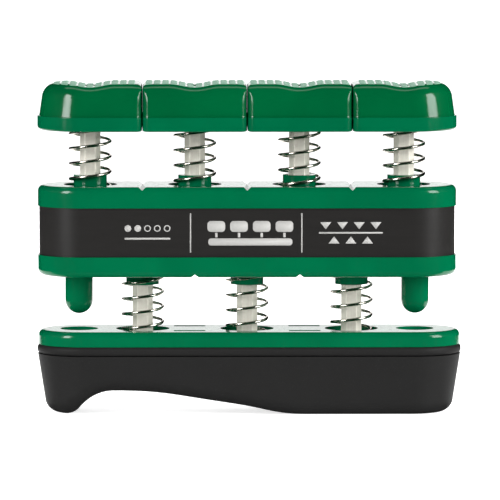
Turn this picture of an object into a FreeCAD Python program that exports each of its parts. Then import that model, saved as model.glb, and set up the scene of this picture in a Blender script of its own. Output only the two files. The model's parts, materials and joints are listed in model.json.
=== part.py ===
import FreeCAD, Part
import math
import os

# Finger exerciser: four sprung finger buttons on a bar, and the bar sprung on a palm handle.
# Millimetres. +X runs along the row of fingers, -Y is the front face and +Z is up.
# The origin is the middle of the footprint, on the surface that the palm grip stands on.

# ---- Driving dimensions --------------------------------------------------------------

FINGER_PITCH = 22.0
FINGERS = 4
LOWER_RODS = 3
DEPTH = 19.0
STROKE = 10.0

# Heights
BEAD_BOTTOM = 12.4
PLATE_BOTTOM = 14.4
PLATE_TOP = 17.5
BAR_BOTTOM = 29.0
BAR_TOP = 48.0
BUTTON_BOTTOM = 59.6
SKIRT_TOP = 62.6
CREST = 69.5

# Overall lengths along X, and how far the handle stands to the right of the row
GRIP_LENGTH = 89.3
PLATE_LENGTH = 88.8
BAR_LENGTH = 88.1
ROW_LENGTH = 88.2
HANDLE_X = 0.45

# Hexagonal rods
ROD_FLATS = 3.81
ROD_LENGTH = 25.5
ROD_EDGE = 0.3
ROD_IN_SOCKET = 5.0
GUIDE_GAP = 0.08
GROOVE_RADIUS = 1.6
GROOVE_WIDTH = 0.7

# Retaining clips on the rods' free ends
CLIP_RADIUS = 3.2
CLIP_THICKNESS = 0.6
CLIP_BAND = 0.9
CLIP_PRONG = 1.1
CLIP_MOUTH = 2.5
CLIP_GAP = 0.05

# Springs
WIRE = 0.65
SPRING_RADIUS = 4.225
SPRING_LENGTH = 17.0
SPRING_TURNS = 5.16
UPPER_SPRING_TURNED = [205, 160, 41, 312]
LOWER_SPRING_TURNED = [130, 238, 182]

# Spring wells and the guide bosses that stand in them
WELL_RADIUS = 5.4
WELL_CHAMFER = 0.25
WELL_WALL = 1.2
WELL_FLOOR = 1.5
WELL_DEPTH = 3.0
BOSS_RADIUS = 3.5
BOSS_PROUD = 2.05

# Bar: an upper and a lower shell with a printed band round the seam
BAR_EDGE = 1.35
BAR_WALL = 1.6
BAR_SEAM = 38.5
BAND_BOTTOM = 33.3
BAND_TOP = 43.6
BAND_RECESS = 0.5
BAND_THICKNESS = 0.17
BAND_GAP = 0.03
BAND_SLIT = 0.4
LIP_HEIGHT = 1.5
LIP_THICKNESS = 0.75
LIP_GAP = 0.05
TOP_NOTCH = (1.5, 0.7)
BOTTOM_NOTCH = (1.8, 0.7)

# Guide pins under the bar, and their holes in the handle
PIN_X = 35.4
PIN_RADIUS = 2.925
PIN_TIP = 20.7
PIN_HOLE_RADIUS = 3.5
PIN_HOLE_BOTTOM = 9.9
PIN_HOLE_CHAMFER = 0.5

# Handle plate: a lid with a hollow plug that fills the grip
PLATE_EDGE = 1.3
PLATE_CEILING = 15.2
PLUG_BOTTOM = 8.8
PLUG_DEPTH = 14.2
PLUG_WALL = 1.2
HANDLE_WELL_FLOOR = 15.0
SOCKET_WALL = 1.6
WINDOW_X = 12.1
WINDOW_Y = 5.1
WINDOW_LENGTH = 6.6
WINDOW_WIDTH = 2.0
WINDOW_LEDGE = 16.1
WINDOW_NECK = 1.2

# Palm grip
GRIP_DEPTH = 19.7
GRIP_BODY_LENGTH = 89.1
GRIP_BODY_DEPTH = 19.4
GRIP_END_DRAFT = 9.0
GRIP_FRONT_DRAFT = 3.0
GRIP_EDGE = 2.9
BEAD_EDGE = 0.85
GRIP_CAVITY_FLOOR = 8.6
CAVITY_GAP = 0.1
LOBE_X = -38.05
LOBE_RADIUS = 3.6
ARCH_X = -28.0
ARCH_HEIGHT = 5.0
BELLY_X = 12.0
HOOK_GAP = 0.1
HOOK_PLAY = 0.3
HOOK_BARB = 0.6
HOOK_TOP = 16.9

# Finger buttons
BUTTON_GAP = 0.1
BUTTON_CORNER = 1.4
SKIRT_STEP = 0.4
SIDE_STEP = 0.06
BUTTON_DRAFT = 3.0
END_DRAFT = 8.0
CROWN_EDGE = 3.3
SKIRT_EDGE = 0.5
SCOOP_HALF_WIDTH = 5.3
SCOOP_DEPTH = 0.7
BUTTON_WALL = 1.6
BUTTON_CEILING = 66.4
CUP_RADIUS = 5.5
CUP_WALL = 1.1
CUP_WEB = 1.2
BRACE = 1.0
RIB_PITCH = 1.75
RIB_WIDTH = 1.38
RIB_HEIGHT = 0.14
RIB_REACH = 6.25
RIB_MARGIN = 2.0
RIB_END_MARGIN = 2.7
RIB_SIDE_MARGIN = 0.35

# Places of the first and last grip rib on each button, in pitches from its middle
RIB_SPANS = [(-4, 5), (-5.5, 5.5), (-5.5, 5.5), (-5, 4)]

# ---- Places that follow from them ----------------------------------------------------

V = FreeCAD.Vector
OVER = 1.0
TOUCHING = 1e-4
UPPER_X = [(n - (FINGERS - 1) / 2) * FINGER_PITCH for n in range(FINGERS)]
LOWER_X = [(n - (LOWER_RODS - 1) / 2) * FINGER_PITCH for n in range(LOWER_RODS)]
UPPER_SEAT = BAR_TOP - WELL_DEPTH
LOWER_SEAT = BAR_BOTTOM + WELL_DEPTH
BUTTON_SEAT = UPPER_SEAT + SPRING_LENGTH
UPPER_ROD_TOP = BUTTON_SEAT + ROD_IN_SOCKET
LOWER_ROD_BOTTOM = HANDLE_WELL_FLOOR - ROD_IN_SOCKET


# ---- Shapes used by several parts ----------------------------------------------------

def outline(x0, x1, half_depth, left_radius, right_radius, z):
    """A closed wire round a plan shape whose left and right corners have their own radii, or 0 if square."""
    corners = [
        (x1 - right_radius, right_radius - half_depth, right_radius, -90),
        (x1 - right_radius, half_depth - right_radius, right_radius, 0),
        (x0 + left_radius, half_depth - left_radius, left_radius, 90),
        (x0 + left_radius, left_radius - half_depth, left_radius, 180),
    ]
    arcs = []
    for centre_x, centre_y, radius, start in corners:
        points = []
        for turn in (0, 45, 90):
            angle = math.radians(start + turn)
            across = centre_x + radius * math.cos(angle)
            along = centre_y + radius * math.sin(angle)
            points.append(V(across, along, z))
        arcs.append(points)
    edges = []
    for number, points in enumerate(arcs):
        following = arcs[(number + 1) % len(arcs)][0]
        if points[0].distanceToPoint(points[2]) > TOUCHING:
            edges.append(Part.Arc(*points).toShape())
        if points[2].distanceToPoint(following) > TOUCHING:
            edges.append(Part.LineSegment(points[2], following).toShape())
    return Part.Wire(edges)


def prism(wire, height):
    """A closed wire raised by height."""
    return Part.Face(wire).extrude(V(0, 0, height))


def stadium(length, depth, bottom, top, x=0):
    """A bar with full-round ends, whose middle is at x."""
    radius = depth / 2
    wire = outline(x - length / 2, x + length / 2, radius, radius, radius, bottom)
    return prism(wire, top - bottom)


def cylinder(x, radius, bottom, top):
    return Part.makeCylinder(radius, top - bottom, V(x, 0, bottom))


def block(x0, x1, y0, y1, z0, z1):
    return Part.makeBox(x1 - x0, y1 - y0, z1 - z0, V(x0, y0, z0))


def hexagon(x, flats, bottom, top):
    """A hexagonal prism with two flats facing front and back."""
    radius = flats / math.sqrt(3)
    corners = []
    for number in range(7):
        angle = math.radians(60 * number)
        corners.append(V(x + radius * math.cos(angle), radius * math.sin(angle), bottom))
    return prism(Part.makePolygon(corners), top - bottom)


def across_section(points):
    """A closed polygon in the XZ plane, run through the whole depth."""
    corners = [V(x, -DEPTH, z) for x, z in points]
    corners.append(corners[0])
    return Part.Face(Part.makePolygon(corners)).extrude(V(0, 2 * DEPTH, 0))


def notch(x, surface, inward, size):
    """The cutter of a V groove across the depth; inward is +1 or -1 along Z."""
    width, depth = size
    reach = depth + OVER
    spread = width / 2 * reach / depth
    apex = surface + inward * depth
    mouth = surface - inward * OVER
    return across_section([(x - spread, mouth), (x + spread, mouth), (x, apex)])


def rounded(solid, radius, level):
    """The solid with the edges that lie flat at one height rounded."""
    chosen = []
    for edge in solid.Edges:
        box = edge.BoundBox
        if abs(box.ZMin - level) < TOUCHING and abs(box.ZMax - level) < TOUCHING:
            chosen.append(edge)
    return solid.makeFillet(radius, chosen)


def joined(first, *others):
    return first.multiFuse(list(others)).removeSplitter()


def well_cutter(x, seat, face):
    """A round spring well from its seat to the face it opens in, with a chamfered mouth."""
    outward = 1 if face > seat else -1
    well = cylinder(x, WELL_RADIUS, min(seat, face), max(seat, face))
    wide = WELL_RADIUS + WELL_CHAMFER
    mouth = Part.makeCone(
        WELL_RADIUS, wide, WELL_CHAMFER, V(x, 0, face - outward * WELL_CHAMFER), V(0, 0, outward)
    )
    return well.fuse(mouth)


def guided_shell(shell, places, face, seat, inner, boss_end):
    """The shell with a spring well at each place, and a boss with a hexagonal guide in it."""
    root = face - math.copysign(BAR_WALL / 2, face - seat)
    towers = []
    cutters = []
    bosses = []
    guides = []
    for x in places:
        towers.append(cylinder(x, WELL_RADIUS + WELL_WALL, min(root, inner), max(root, inner)))
        cutters.append(well_cutter(x, seat, face))
        low, high = min(inner, boss_end), max(inner, boss_end)
        bosses.append(cylinder(x, BOSS_RADIUS, low, high))
        guides.append(hexagon(x, ROD_FLATS + 2 * GUIDE_GAP, low - OVER, high + OVER))
    shell = shell.multiFuse(towers).cut(cutters)
    return shell.multiFuse(bosses).cut(guides).removeSplitter()


# ---- Handle --------------------------------------------------------------------------

def handle_plate():
    """Green lid of the handle, with spring wells, rod sockets, pin holes and hook windows."""
    lid = stadium(PLATE_LENGTH, DEPTH, PLATE_BOTTOM, PLATE_TOP, HANDLE_X)
    lid = rounded(lid, PLATE_EDGE, PLATE_TOP)
    plug_length = PLATE_LENGTH - DEPTH + PLUG_DEPTH
    inner_length = plug_length - 2 * PLUG_WALL
    inner_depth = PLUG_DEPTH - 2 * PLUG_WALL
    plug = stadium(plug_length, PLUG_DEPTH, PLUG_BOTTOM, PLATE_BOTTOM, HANDLE_X)
    hollow = stadium(inner_length, inner_depth, PLUG_BOTTOM - OVER, PLATE_CEILING, HANDLE_X)
    plate = lid.fuse(plug).cut(hollow)
    socket_radius = ROD_FLATS / 2 + SOCKET_WALL
    cup_bottom = HANDLE_WELL_FLOOR - WELL_FLOOR
    posts = []
    cutters = []
    for x in LOWER_X:
        posts.append(cylinder(x, WELL_RADIUS + WELL_WALL / 2, cup_bottom, PLATE_CEILING + WELL_FLOOR / 2))
        posts.append(cylinder(x, socket_radius, PLUG_BOTTOM, HANDLE_WELL_FLOOR - WELL_FLOOR / 2))
        cutters.append(well_cutter(x, HANDLE_WELL_FLOOR, PLATE_TOP))
        cutters.append(hexagon(x, ROD_FLATS, LOWER_ROD_BOTTOM, PLATE_TOP))
    for x in (-PIN_X, PIN_X):
        posts.append(cylinder(x, PIN_HOLE_RADIUS + WELL_WALL, PLUG_BOTTOM, PLATE_CEILING + OVER))
        cutters.append(cylinder(x, PIN_HOLE_RADIUS, PIN_HOLE_BOTTOM, PLATE_TOP))
        wide = PIN_HOLE_RADIUS + PIN_HOLE_CHAMFER
        start = V(x, 0, PLATE_TOP - PIN_HOLE_CHAMFER)
        cutters.append(Part.makeCone(PIN_HOLE_RADIUS, wide, PIN_HOLE_CHAMFER, start))
    for x in (-WINDOW_X, WINDOW_X):
        for side in (-1, 1):
            cutters.append(window_cutter(x, side, WINDOW_WIDTH, WINDOW_LEDGE, PLATE_TOP))
            cutters.append(window_cutter(x, side, WINDOW_NECK, PLATE_CEILING - OVER, WINDOW_LEDGE))
    return plate.multiFuse(posts).cut(cutters).removeSplitter()


def window_cutter(x, side, width, bottom, top):
    """A slot cutter that starts at the window's inner edge and is width wide towards one side."""
    inner = WINDOW_Y - WINDOW_WIDTH / 2
    edges = sorted((side * inner, side * (inner + width)))
    half = WINDOW_LENGTH / 2
    return block(x - half, x + half, edges[0], edges[1], bottom, top)


def grip_underside():
    """The wire of the grip's side view below its body, from the lobe to the right-hand end."""
    far = GRIP_LENGTH
    rise = math.atan2(ARCH_HEIGHT, ARCH_X - LOBE_X) * 2
    both_radii = (ARCH_X - LOBE_X) / math.sin(rise)
    arch_radius = both_radii - LOBE_RADIUS
    floor_left = V(-far, -DEPTH, 0)
    lobe = V(LOBE_X, -DEPTH, 0)
    arch = V(ARCH_X, -DEPTH, ARCH_HEIGHT)
    belly = V(BELLY_X, -DEPTH, 0)

    def on_lobe(angle):
        return lobe + V(math.sin(angle), 0, 1 - math.cos(angle)) * LOBE_RADIUS

    def on_arch(angle):
        return arch - V(math.sin(angle), 0, 1 - math.cos(angle)) * arch_radius

    slope = Part.BSplineCurve()
    through = [arch, V(-18.9, -DEPTH, 4.62), V(-8.8, -DEPTH, 3.15), V(1.5, -DEPTH, 1.45), belly]
    slope.interpolate(Points=through, InitialTangent=V(1, 0, 0), FinalTangent=V(1, 0, 0))
    edges = [
        Part.LineSegment(floor_left, lobe).toShape(),
        Part.Arc(lobe, on_lobe(rise / 2), on_lobe(rise)).toShape(),
        Part.Arc(on_arch(rise), on_arch(rise / 2), arch).toShape(),
        slope.toShape(),
        Part.LineSegment(belly, V(far, -DEPTH, 0)).toShape(),
        Part.LineSegment(V(far, -DEPTH, 0), V(far, -DEPTH, BEAD_BOTTOM + OVER)).toShape(),
        Part.LineSegment(V(far, -DEPTH, BEAD_BOTTOM + OVER), V(-far, -DEPTH, BEAD_BOTTOM + OVER)).toShape(),
        Part.LineSegment(V(-far, -DEPTH, BEAD_BOTTOM + OVER), floor_left).toShape(),
    ]
    return Part.Wire(edges)


def palm_grip():
    """Dark grip: a lobe, an arch and a belly under the palm, hollow for the plate's plug."""
    low = -OVER
    drop = BEAD_BOTTOM - low
    half = GRIP_BODY_LENGTH / 2
    inward = drop * math.tan(math.radians(GRIP_END_DRAFT))
    left = HANDLE_X - half
    right = HANDLE_X + half
    upper_radius = GRIP_BODY_DEPTH / 2
    lower_radius = upper_radius - drop * math.tan(math.radians(GRIP_FRONT_DRAFT))
    upper = outline(left, right, upper_radius, upper_radius, upper_radius, BEAD_BOTTOM)
    lower = outline(left + inward, right - inward, lower_radius, lower_radius, lower_radius, low)
    body = Part.makeLoft([lower, upper], True, True)
    body = body.common(Part.Face(grip_underside()).extrude(V(0, 2 * DEPTH, 0)))
    rims = []
    for edge in body.Edges:
        box = edge.BoundBox
        under = box.ZMax < ARCH_HEIGHT + WIRE
        if under and box.YLength > 1e-3 and box.XLength < 1e-3:
            continue
        crosses = box.YMin < -1 and box.YMax > 1
        if under and not crosses:
            rims.append(edge)
    body = body.makeFillet(GRIP_EDGE, rims)
    bead = stadium(GRIP_LENGTH, GRIP_DEPTH, BEAD_BOTTOM, PLATE_BOTTOM, HANDLE_X)
    bead = rounded(rounded(bead, BEAD_EDGE, PLATE_BOTTOM), BEAD_EDGE, BEAD_BOTTOM)
    cavity_depth = PLUG_DEPTH + 2 * CAVITY_GAP
    cavity_length = PLATE_LENGTH - DEPTH + cavity_depth
    cavity = stadium(cavity_length, cavity_depth, GRIP_CAVITY_FLOOR, PLATE_BOTTOM, HANDLE_X)
    hooks = [snap_hook(x, side) for x in (-WINDOW_X, WINDOW_X) for side in (-1, 1)]
    return body.fuse(bead).cut(cavity).multiFuse(hooks).removeSplitter()


def snap_hook(x, side):
    """One hook of the grip, whose barb rests on the ledge in the plate's window."""
    inner = WINDOW_Y - WINDOW_WIDTH / 2 + HOOK_GAP
    outer = inner + WINDOW_NECK - 2 * HOOK_GAP
    barb_bottom = WINDOW_LEDGE + CLIP_GAP
    section = [
        (inner, GRIP_CAVITY_FLOOR - OVER),
        (inner, HOOK_TOP),
        (outer, HOOK_TOP),
        (outer + HOOK_BARB, barb_bottom + HOOK_PLAY),
        (outer + HOOK_BARB, barb_bottom),
        (outer, barb_bottom),
        (outer, GRIP_CAVITY_FLOOR - OVER),
    ]
    half = WINDOW_LENGTH / 2 - HOOK_PLAY
    corners = [V(x - half, side * y, z) for y, z in section]
    corners.append(corners[0])
    return Part.Face(Part.makePolygon(corners)).extrude(V(2 * half, 0, 0))


# ---- Bar -----------------------------------------------------------------------------

def bar_block():
    """The bar's outside, with rounded edges, the band's recess and the notches across it."""
    bar = stadium(BAR_LENGTH, DEPTH, BAR_BOTTOM, BAR_TOP)
    bar = rounded(rounded(bar, BAR_EDGE, BAR_TOP), BAR_EDGE, BAR_BOTTOM)
    around = stadium(BAR_LENGTH + 2 * OVER, DEPTH + 2 * OVER, BAND_BOTTOM, BAND_TOP)
    recess = 2 * BAND_RECESS
    core = stadium(BAR_LENGTH - recess, DEPTH - recess, BAND_BOTTOM, BAND_TOP)
    bar = bar.cut(around.cut(core))
    notches = [notch(x, BAR_TOP, -1, TOP_NOTCH) for x in LOWER_X]
    notches += [notch(x, BAR_BOTTOM, 1, BOTTOM_NOTCH) for x in UPPER_X[1:-1]]
    return bar.cut(notches)


def bar_inside(inset, bottom, top):
    """A bar-shaped space whose side lies inset behind the band's recess."""
    narrow = 2 * (BAND_RECESS + inset)
    return stadium(BAR_LENGTH - narrow, DEPTH - narrow, bottom, top)


def bar_upper_shell():
    """Green upper half of the bar, which guides the finger rods."""
    half = bar_block().common(block(-BAR_LENGTH, BAR_LENGTH, -DEPTH, DEPTH, BAR_SEAM, BAR_TOP + OVER))
    half = half.cut(bar_inside(BAR_WALL, BAR_SEAM - OVER, BAR_TOP - BAR_WALL))
    rebate = bar_inside(BAR_WALL - LIP_THICKNESS - LIP_GAP, BAR_SEAM - OVER, BAR_SEAM + LIP_HEIGHT + LIP_GAP)
    half = half.cut(rebate)
    boss_end = BAR_TOP + BOSS_PROUD
    return guided_shell(half, UPPER_X, BAR_TOP, UPPER_SEAT, UPPER_SEAT - WELL_FLOOR, boss_end)


def bar_lower_shell():
    """Green lower half of the bar, which runs on the handle's rods and carries two guide pins."""
    half = bar_block().common(block(-BAR_LENGTH, BAR_LENGTH, -DEPTH, DEPTH, BAR_BOTTOM - OVER, BAR_SEAM))
    lip = bar_inside(BAR_WALL - LIP_THICKNESS, BAR_BOTTOM + BAR_WALL, BAR_SEAM + LIP_HEIGHT)
    half = half.fuse(lip).cut(bar_inside(BAR_WALL, BAR_BOTTOM + BAR_WALL, BAR_TOP))
    boss_end = BAR_BOTTOM - BOSS_PROUD
    half = guided_shell(half, LOWER_X, BAR_BOTTOM, LOWER_SEAT, LOWER_SEAT + WELL_FLOOR, boss_end)
    return joined(half, guide_pin(-PIN_X), guide_pin(PIN_X))


def guide_pin(x):
    """A round pin with a hemispherical tip."""
    tip = V(x, 0, PIN_TIP)
    shoulder = V(x + PIN_RADIUS, 0, PIN_TIP + PIN_RADIUS)
    turn = math.sqrt(0.5) * PIN_RADIUS
    bend = V(x + turn, 0, PIN_TIP + PIN_RADIUS - turn)
    top = BAR_BOTTOM + BAR_WALL / 2
    edges = [
        Part.Arc(tip, bend, shoulder).toShape(),
        Part.LineSegment(shoulder, V(x + PIN_RADIUS, 0, top)).toShape(),
        Part.LineSegment(V(x + PIN_RADIUS, 0, top), V(x, 0, top)).toShape(),
        Part.LineSegment(V(x, 0, top), tip).toShape(),
    ]
    return Part.Face(Part.Wire(edges)).revolve(V(x, 0, 0), V(0, 0, 1), 360)


def label_band():
    """Thin printed band round the bar, with its ends meeting at the back."""
    seat = 2 * (BAND_RECESS - BAND_GAP)
    skin = seat - 2 * BAND_THICKNESS
    low = BAND_BOTTOM + BAND_GAP
    high = BAND_TOP - BAND_GAP
    outside = stadium(BAR_LENGTH - skin, DEPTH - skin, low, high)
    inside = stadium(BAR_LENGTH - seat, DEPTH - seat, low - OVER, high + OVER)
    slit = block(-BAND_SLIT / 2, BAND_SLIT / 2, 0, DEPTH, low - OVER, high + OVER)
    return outside.cut([inside, slit])


# ---- Rods, clips and springs ---------------------------------------------------------

def rod(x, bottom, groove_bottom):
    """A hexagonal rod with softened edges and a clip groove near its free end."""
    body = hexagon(x, ROD_FLATS, bottom, bottom + ROD_LENGTH)
    long_edges = [edge for edge in body.Edges if edge.BoundBox.ZLength > ROD_LENGTH / 2]
    body = body.makeFillet(ROD_EDGE, long_edges)
    groove = cylinder(x, ROD_FLATS, groove_bottom, groove_bottom + GROOVE_WIDTH)
    core = cylinder(x, GROOVE_RADIUS, groove_bottom, groove_bottom + GROOVE_WIDTH)
    return body.cut(groove.cut(core))


def clip(x, bottom):
    """An open retaining ring with three prongs that stand in the rod's groove."""
    top = bottom + CLIP_THICKNESS
    ring = cylinder(x, CLIP_RADIUS, bottom, top).cut(cylinder(x, CLIP_RADIUS - CLIP_BAND, bottom, top))
    grip = GROOVE_RADIUS + BAND_GAP
    prong = block(x - CLIP_PRONG / 2, x + CLIP_PRONG / 2, 0, CLIP_RADIUS - CLIP_BAND / 2, bottom, top)
    prongs = []
    for turn in (0, 100, -100):
        turned = prong.copy()
        turned.rotate(V(x, 0, 0), V(0, 0, 1), turn)
        prongs.append(turned)
    mouth = block(x - CLIP_MOUTH / 2, x + CLIP_MOUTH / 2, -CLIP_RADIUS - OVER, 0, bottom, top)
    return ring.cut(mouth).multiFuse(prongs).cut(cylinder(x, grip, bottom, top)).removeSplitter()


def spring(x, seat, turned):
    """A right-handed wire coil standing on its seat, turned about its own axis."""
    rise = SPRING_LENGTH - WIRE
    coil = Part.makeHelix(rise / SPRING_TURNS, rise, SPRING_RADIUS)
    section = Part.Wire(Part.makeCircle(WIRE / 2, V(SPRING_RADIUS, 0, 0), V(0, 1, 0)))
    body = Part.Wire(coil).makePipeShell([section], True, True)
    body.rotate(V(0, 0, 0), V(0, 0, 1), turned)
    body.translate(V(x, 0, seat + WIRE / 2))
    return body


# ---- Finger buttons ------------------------------------------------------------------

def button_plan(number, inset, z, corner, side_inset=None, end_inset=None):
    """The wire round one button, drawn in by inset.

    It is drawn in by side_inset where it faces a neighbour and by end_inset at the end of the row.
    The outer buttons have one full-round end.
    """
    beside = inset if side_inset is None else side_inset
    beyond = inset if end_inset is None else end_inset
    half_width = FINGER_PITCH / 2 - BUTTON_GAP / 2 - beside
    left = UPPER_X[number] - half_width
    right = UPPER_X[number] + half_width
    half_depth = DEPTH / 2 - inset
    radii = [corner, corner]
    if number == 0:
        left = beyond - ROW_LENGTH / 2
        radii[0] = half_depth
    if number == FINGERS - 1:
        right = ROW_LENGTH / 2 - beyond
        radii[1] = half_depth
    return outline(left, right, half_depth, radii[0], radii[1], z)


def finger_top(x):
    """Everything under the top surface of a button at x: flat crests and a scoop between them."""
    bend = (SCOOP_HALF_WIDTH ** 2 + SCOOP_DEPTH ** 2) / (4 * SCOOP_DEPTH)
    turn = math.asin(SCOOP_HALF_WIDTH / 2 / bend)

    def shoulder(side, angle):
        across = side * (SCOOP_HALF_WIDTH - bend * math.sin(angle))
        return V(x + across, -DEPTH, CREST - bend + bend * math.cos(angle))

    low = V(x, -DEPTH, CREST - SCOOP_DEPTH)
    wide = FINGER_PITCH
    corners = [(-wide, CREST), (-wide, BUTTON_BOTTOM), (wide, BUTTON_BOTTOM), (wide, CREST)]
    outer = [V(x + across, -DEPTH, z) for across, z in corners]
    edges = [
        Part.LineSegment(outer[0], shoulder(-1, 0)).toShape(),
        Part.Arc(shoulder(-1, 0), shoulder(-1, turn / 2), shoulder(-1, turn)).toShape(),
        Part.Arc(shoulder(-1, turn), low, shoulder(1, turn)).toShape(),
        Part.Arc(shoulder(1, turn), shoulder(1, turn / 2), shoulder(1, 0)).toShape(),
        Part.LineSegment(shoulder(1, 0), outer[3]).toShape(),
        Part.LineSegment(outer[3], outer[2]).toShape(),
        Part.LineSegment(outer[2], outer[1]).toShape(),
        Part.LineSegment(outer[1], outer[0]).toShape(),
    ]
    return Part.Face(Part.Wire(edges)).extrude(V(0, 2 * DEPTH, 0))


def button_cap(number):
    """The tapered cap above the skirt, rounded most along its front and back and round the row's end."""
    x = UPPER_X[number]
    tall = CREST + OVER
    inset = SKIRT_STEP + (tall - SKIRT_TOP) * math.tan(math.radians(BUTTON_DRAFT))
    end_inset = SKIRT_STEP + (tall - SKIRT_TOP) * math.tan(math.radians(END_DRAFT))
    root = button_plan(number, SKIRT_STEP, SKIRT_TOP, 0, SIDE_STEP)
    crown = button_plan(number, inset, tall, 0, SIDE_STEP, end_inset)
    cap = Part.makeLoft([root, crown], True, True).common(finger_top(x))
    lowest = CREST - SCOOP_DEPTH - TOUCHING
    along = []
    for edge in cap.Edges:
        box = edge.BoundBox
        round_end = box.XLength > 1 and box.YLength > 1
        if box.ZMin > lowest and (box.YLength < TOUCHING or round_end):
            along.append(edge)
    cap = cap.makeFillet(CROWN_EDGE, along)
    side = FINGER_PITCH / 2 - 2 * OVER
    beside = []
    for edge in cap.Edges:
        box = edge.BoundBox
        inner = abs(box.Center.x - x) > side and abs(box.Center.x) < ROW_LENGTH / 2 - DEPTH / 2
        if inner and box.XLength < OVER and box.ZMax > SKIRT_TOP + OVER:
            beside.append(edge)
    return cap.makeFillet(BUTTON_CORNER, beside)


def button_ribs(number, cap):
    """Low grip ribs across one button, which follow the cap's scoop and its rounded edges."""
    x = UPPER_X[number]
    inset = SKIRT_STEP + RIB_MARGIN
    end_inset = SKIRT_STEP + RIB_END_MARGIN
    around = button_plan(number, inset, SKIRT_TOP, 0, SIDE_STEP + RIB_SIDE_MARGIN, end_inset)
    plan = prism(around, CREST)
    raised = cap.translated(V(0, 0, RIB_HEIGHT)).common(plan)
    first, last = RIB_SPANS[number]
    half = RIB_WIDTH / 2
    slabs = []
    for place in range(round(last - first) + 1):
        middle = x + (first + place) * RIB_PITCH
        slabs.append(block(middle - half, middle + half, -RIB_REACH, RIB_REACH, SKIRT_TOP, CREST + OVER))
    return raised.common(Part.makeCompound(slabs))


def finger_button(number):
    """One button: a stepped skirt, a scooped and ribbed cap, and a braced spring cup inside."""
    x = UPPER_X[number]
    skirt = prism(button_plan(number, 0, BUTTON_BOTTOM, BUTTON_CORNER), SKIRT_TOP - BUTTON_BOTTOM)
    skirt = rounded(rounded(skirt, SKIRT_EDGE, BUTTON_BOTTOM), SKIRT_EDGE / 2, SKIRT_TOP)
    cap = button_cap(number)
    inner = SKIRT_STEP + BUTTON_WALL
    hollow = prism(button_plan(number, inner, BUTTON_BOTTOM, 0), BUTTON_CEILING - BUTTON_BOTTOM)
    shell = skirt.multiFuse([cap, button_ribs(number, cap)]).cut(hollow)
    cup = cylinder(x, CUP_RADIUS + CUP_WALL, BUTTON_BOTTOM, BUTTON_SEAT + CUP_WEB)
    post = cylinder(x, ROD_FLATS / 2 + SOCKET_WALL, BUTTON_SEAT, BUTTON_CEILING + OVER)
    low = BUTTON_BOTTOM + CUP_WEB
    high = BUTTON_CEILING + OVER / 2
    half = BRACE / 2
    reach = FINGER_PITCH / 2 - inner
    deep = DEPTH / 2 - inner + half
    braces = [
        block(x - reach, x + reach, -half, half, low, high),
        block(x - half, x + half, -deep, deep, low, high),
    ]
    recess = cylinder(x, CUP_RADIUS, BUTTON_BOTTOM - OVER, BUTTON_SEAT)
    socket = hexagon(x, ROD_FLATS, BUTTON_SEAT - OVER, UPPER_ROD_TOP)
    return shell.multiFuse([cup, post] + braces).cut([recess, socket]).removeSplitter()


# ---- Every piece ---------------------------------------------------------------------

def pieces():
    """Each node's name and its solid."""
    made = {
        "palm_grip": palm_grip(),
        "handle_plate": handle_plate(),
        "bar_upper_shell": bar_upper_shell(),
        "bar_lower_shell": bar_lower_shell(),
        "label_band": label_band(),
    }
    lower_groove = LOWER_SEAT + WELL_FLOOR + CLIP_GAP
    for number, x in enumerate(LOWER_X, 1):
        made[f"bar_rod_{number}"] = rod(x, LOWER_ROD_BOTTOM, lower_groove)
        made[f"bar_rod_clip_{number}"] = clip(x, lower_groove + CLIP_GAP)
        turned = LOWER_SPRING_TURNED[number - 1]
        made[f"bar_spring_{number}"] = spring(x, HANDLE_WELL_FLOOR, turned)
    upper_groove = UPPER_SEAT - WELL_FLOOR - CLIP_GAP - GROOVE_WIDTH
    for number, x in enumerate(UPPER_X, 1):
        made[f"finger_button_{number}"] = finger_button(number - 1)
        made[f"finger_rod_{number}"] = rod(x, UPPER_ROD_TOP - ROD_LENGTH, upper_groove)
        made[f"finger_rod_clip_{number}"] = clip(x, upper_groove + CLIP_GAP)
        turned = UPPER_SPRING_TURNED[number - 1]
        made[f"finger_spring_{number}"] = spring(x, UPPER_SEAT, turned)
    return made


os.makedirs("parts", exist_ok=True)
for name, shape in pieces().items():
    solids = shape.Solids
    sound = shape.isValid() and len(solids) == 1
    print(f"{name:20s} {shape.Volume:9.2f} mm3  {'sound' if sound else 'FAULT'} {len(solids)}")
    solids[0].exportStep(f"parts/{name}.step")
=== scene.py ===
import json
import math

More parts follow.
